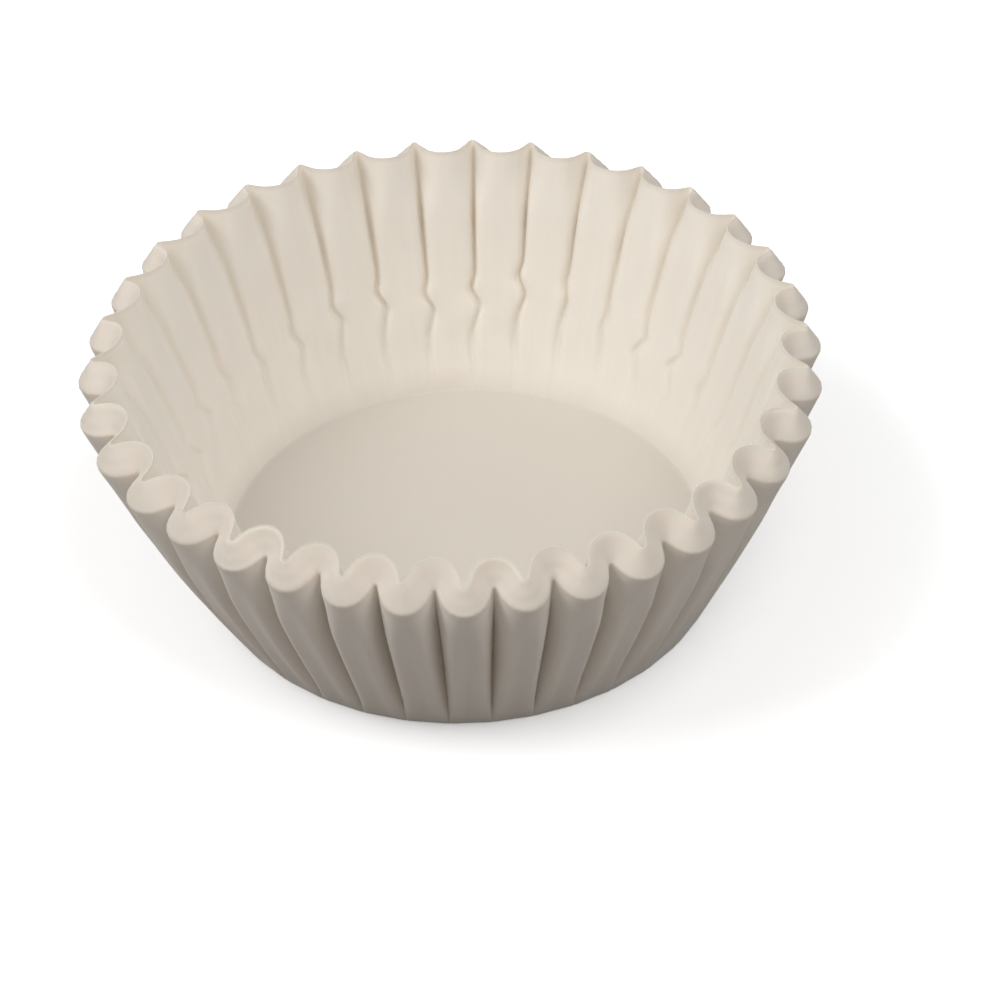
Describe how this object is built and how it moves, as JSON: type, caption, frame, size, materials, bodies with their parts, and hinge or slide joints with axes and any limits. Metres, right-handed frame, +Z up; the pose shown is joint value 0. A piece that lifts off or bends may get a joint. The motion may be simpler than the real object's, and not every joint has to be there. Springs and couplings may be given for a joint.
{
  "type": "cupcake liner",
  "caption": "Round fluted paper cup, open at the top, with a flat base and a flaring pleated wall, for holding a small cake while it bakes.",
  "frame": {"origin": "middle of the flat base's underside, which is the face it rests on", "axes": "+Z up through the open mouth, +Y towards the far side of the rim in the picture, +X to its right"},
  "size_m": [0.0724, 0.0725, 0.0275],
  "materials": {
    "paper": "matt greaseproof paper, off-white"
  },
  "bodies": {
    "root": {"liner": "paper"}
  },
  "joints": []
}
